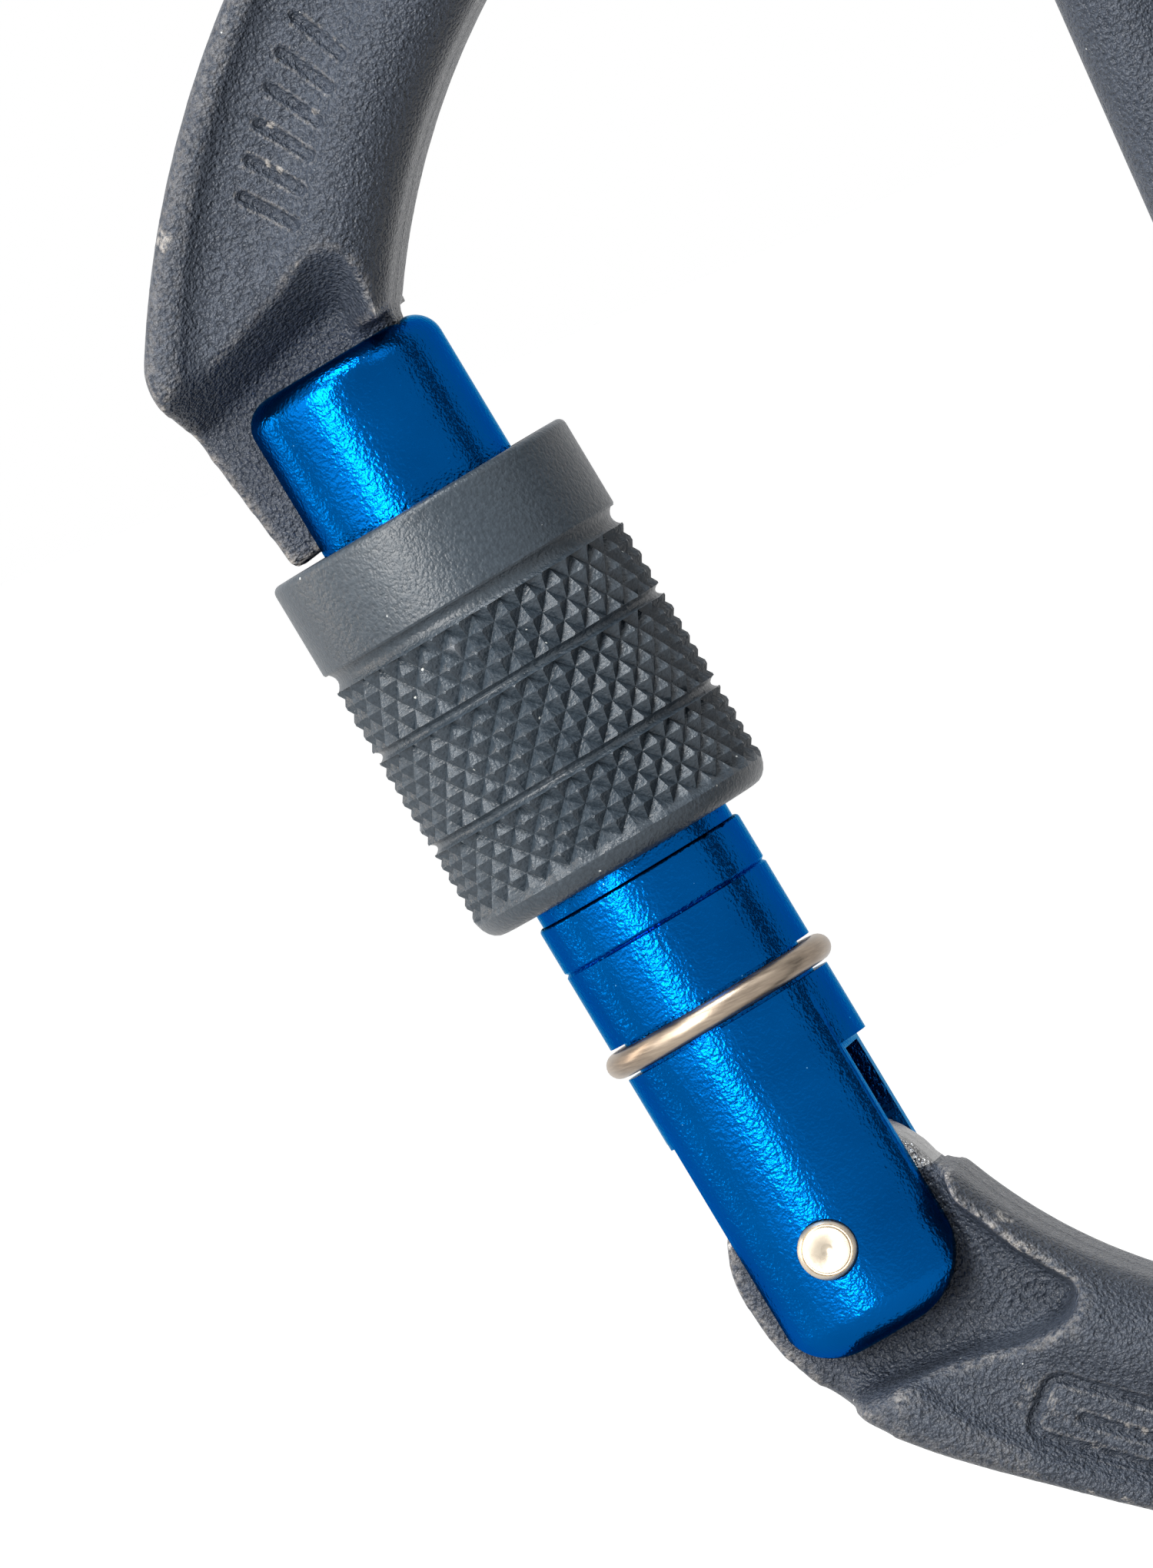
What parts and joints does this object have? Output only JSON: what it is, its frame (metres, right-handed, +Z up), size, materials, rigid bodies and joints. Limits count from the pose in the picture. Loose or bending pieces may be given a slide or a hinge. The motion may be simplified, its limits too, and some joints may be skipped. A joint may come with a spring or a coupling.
{
  "type": "locking carabiner",
  "caption": "D-shaped screw-gate carabiner with a forged frame, a sprung gate on a rivet and a knurled locking sleeve that screws along the gate",
  "frame": {"origin": "highest point inside the top bend, where a rope or sling bears, midway through the thickness", "axes": "+Z up along the straight spine towards the nose end, +X from the gate to the spine, +Y through the thickness towards the back"},
  "size_m": [0.0523, 0.0146, 0.0913],
  "materials": {
    "frame_coating": "matt grey coating on a hot forging, fine grain",
    "gate_anodised": "satin anodised, blue",
    "sleeve_coating": "matt dark grey anodised, knurled",
    "ring_wire": "plain spring wire, warm grey",
    "rivet_steel": "machined steel",
    "plunger_steel": "turned steel",
    "spring_steel": "spring wire"
  },
  "bodies": {
    "frame_body": {"frame": "frame_coating"},
    "gate_body": {"gate": "gate_anodised", "hinge_rivet": "rivet_steel", "gate_spring": "spring_steel"},
    "plunger_body": {"spring_plunger": "plunger_steel"},
    "ring_body": {"stop_ring": "ring_wire"},
    "sleeve_body": {"sleeve": "sleeve_coating"}
  },
  "joints": [
    {"name": "gate_hinge", "type": "hinge", "parent": "frame_body", "child": "gate_body", "pos_m": [-0.0205, 0, -0.06115], "axis": [0, 1, 0], "range_deg": [0, 27], "stiffness_Nm_per_rad": 0.3, "springref_deg": -40.11, "deforming": ["gate_spring"]},
    {"name": "plunger_slide", "type": "slide", "parent": "gate_body", "child": "plunger_body", "axis": [-0.1253, 0, 0.9921], "range_m": [0, 0.0006]},
    {"name": "sleeve_turn", "type": "hinge", "parent": "gate_body", "child": "ring_body", "pos_m": [-0.02132, 0, -0.04986], "axis": [-0.1253, 0, 0.9921], "range_deg": [-1016.5, 361]},
    {"name": "sleeve_travel", "type": "slide", "parent": "ring_body", "child": "sleeve_body", "axis": [-0.1253, 0, 0.9921], "range_m": [-0.00677, 0.0024]}
  ],
  "couplings": [
    {"joint": "plunger_slide", "follows": "gate_hinge", "m_per_rad": 0.00127},
    {"joint": "sleeve_turn", "follows": "sleeve_travel", "rad_per_m": 2618}
  ]
}
